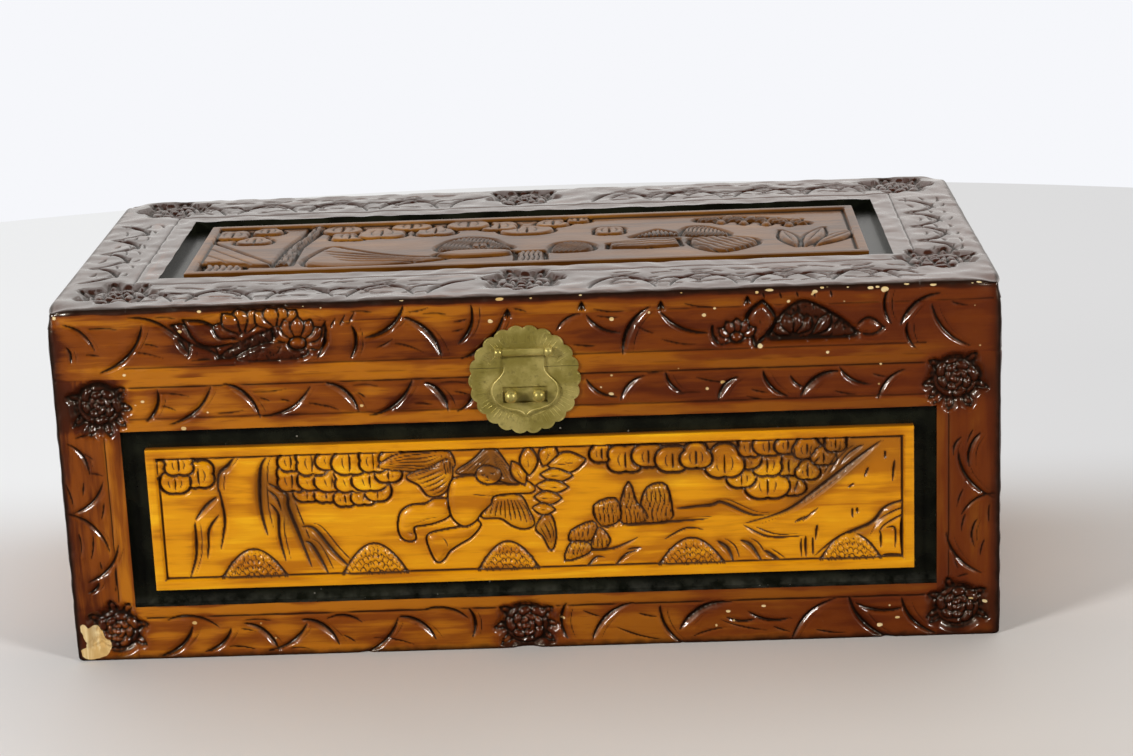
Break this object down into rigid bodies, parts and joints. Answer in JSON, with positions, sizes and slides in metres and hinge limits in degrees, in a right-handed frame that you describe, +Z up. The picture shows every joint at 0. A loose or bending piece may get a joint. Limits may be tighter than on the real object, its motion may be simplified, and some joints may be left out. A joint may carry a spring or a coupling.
{
  "type": "keepsake box",
  "caption": "Carved and lacquered wooden keepsake box with a hinged lid, black recessed borders round carved panels, and a scalloped brass plate with a hasp.",
  "frame": {"origin": "middle of the flat underside that the box rests on", "axes": "+X along the width to the right as seen from the front, +Y from the front to the back, +Z up; the lock is on the -Y side"},
  "size_m": [0.4, 0.2136, 0.1582],
  "materials": {
    "stained_frame": "dark red-brown stain under thick glossy clear lacquer, darker in the carving and along the edges",
    "ochre_panel": "ochre stain under glossy clear lacquer, dark brown in the carved grooves",
    "black_border": "glossy black lacquer, with some dust",
    "plain_board": "bare camphor wood, planed",
    "aged_brass": "thin sheet and cast brass with a greenish brown patina"
  },
  "bodies": {
    "chest": {"front_left_stile": "stained_frame", "front_right_stile": "stained_frame", "front_head_rail": "stained_frame", "front_foot_rail": "stained_frame", "front_backing_board": "black_border", "front_carved_panel": "ochre_panel", "left_front_stile": "stained_frame", "left_back_stile": "stained_frame", "left_head_rail": "stained_frame", "left_foot_rail": "stained_frame", "left_backing_board": "black_border", "left_carved_panel": "ochre_panel", "right_front_stile": "stained_frame", "right_back_stile": "stained_frame", "right_head_rail": "stained_frame", "right_foot_rail": "stained_frame", "right_backing_board": "black_border", "right_carved_panel": "ochre_panel", "back_left_stile": "stained_frame", "back_right_stile": "stained_frame", "back_head_rail": "stained_frame", "back_foot_rail": "stained_frame", "back_panel": "stained_frame", "floor_board": "plain_board", "lower_lock_plate": "aged_brass", "padlock_posts": "aged_brass", "left_hinge_chest_leaf": "aged_brass", "right_hinge_chest_leaf": "aged_brass", "hinge_pins": "aged_brass", "chest_hinge_screws": "aged_brass"},
    "lid": {"lid_front_board": "stained_frame", "lid_back_board": "stained_frame", "lid_left_board": "stained_frame", "lid_right_board": "stained_frame", "lid_top_front_rail": "stained_frame", "lid_top_back_rail": "stained_frame", "lid_top_left_rail": "stained_frame", "lid_top_right_rail": "stained_frame", "lid_backing_board": "black_border", "lid_carved_panel": "ochre_panel", "upper_lock_plate": "aged_brass", "hasp_eyes": "aged_brass", "hasp_pin": "aged_brass", "left_hinge_lid_leaf": "aged_brass", "right_hinge_lid_leaf": "aged_brass", "lid_hinge_screws": "aged_brass"},
    "hasp": {"hasp": "aged_brass"}
  },
  "joints": [
    {"name": "lid_hinge", "type": "hinge", "parent": "chest", "child": "lid", "pos_m": [0, 0.10005, 0.1268], "axis": [-1, 0, 0], "range_deg": [0, 98]},
    {"name": "hasp_hinge", "type": "hinge", "parent": "lid", "child": "hasp", "pos_m": [0, -0.10635, 0.134], "axis": [-1, 0, 0], "range_deg": [0, 180]}
  ]
}
